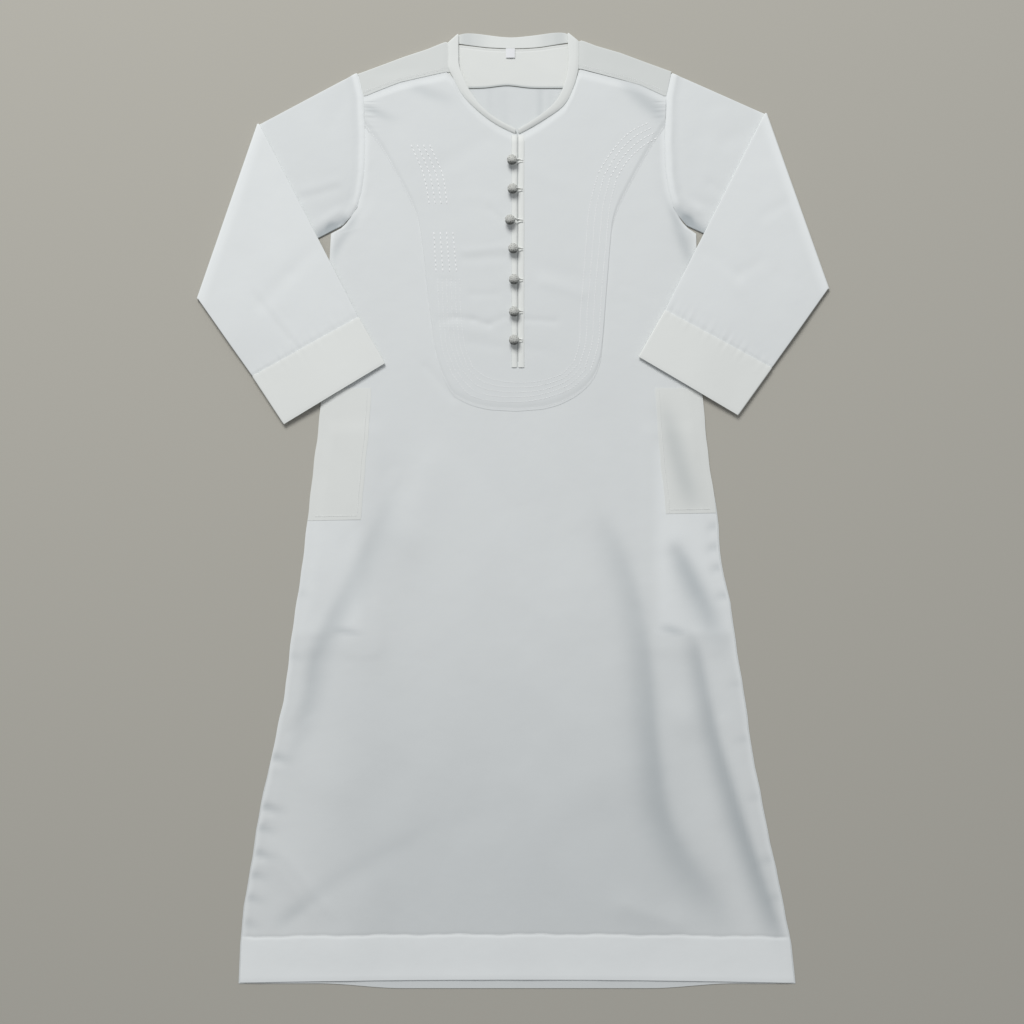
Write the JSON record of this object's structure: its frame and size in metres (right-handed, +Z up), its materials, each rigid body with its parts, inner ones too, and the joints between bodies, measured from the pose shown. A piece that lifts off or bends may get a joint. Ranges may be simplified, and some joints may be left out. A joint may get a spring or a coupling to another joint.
{
  "type": "thobe robe",
  "caption": "Long thobe robe laid flat, sleeves folded over at the elbow, with a stitched U bib, ball buttons and side pocket panels.",
  "frame": {"origin": "on the surface the robe lies on, under the middle of its outline", "axes": "+Y from the hem to the neck, +Z up out of the front, +X to the right as seen from above"},
  "size_m": [0.9157, 1.3849, 0.0209],
  "materials": {
    "body_cloth": "matt plain-weave white cotton",
    "faced_cloth": "matt white cotton over a facing, a little warmer",
    "label_tape": "smooth white tape",
    "button_thread": "grey thread wound on a ball",
    "loop_cord": "thin grey cord"
  },
  "bodies": {
    "root": {"back_panel": "body_cloth", "bib": "body_cloth", "button_1": "button_thread", "button_2": "button_thread", "button_3": "button_thread", "button_4": "button_thread", "button_5": "button_thread", "button_6": "button_thread", "button_7": "button_thread", "cuff_left": "faced_cloth", "cuff_right": "faced_cloth", "front_panel": "body_cloth", "loop_1": "loop_cord", "loop_2": "loop_cord", "loop_3": "loop_cord", "loop_4": "loop_cord", "loop_5": "loop_cord", "loop_6": "loop_cord", "loop_7": "loop_cord", "neckband": "faced_cloth", "placket_left": "faced_cloth", "placket_right": "faced_cloth", "pocket_bag_left": "body_cloth", "pocket_bag_right": "body_cloth", "pocket_panel_left": "faced_cloth", "pocket_panel_right": "faced_cloth", "size_label": "label_tape", "sleeve_left": "body_cloth", "sleeve_right": "body_cloth", "yoke": "faced_cloth"}
  },
  "joints": []
}
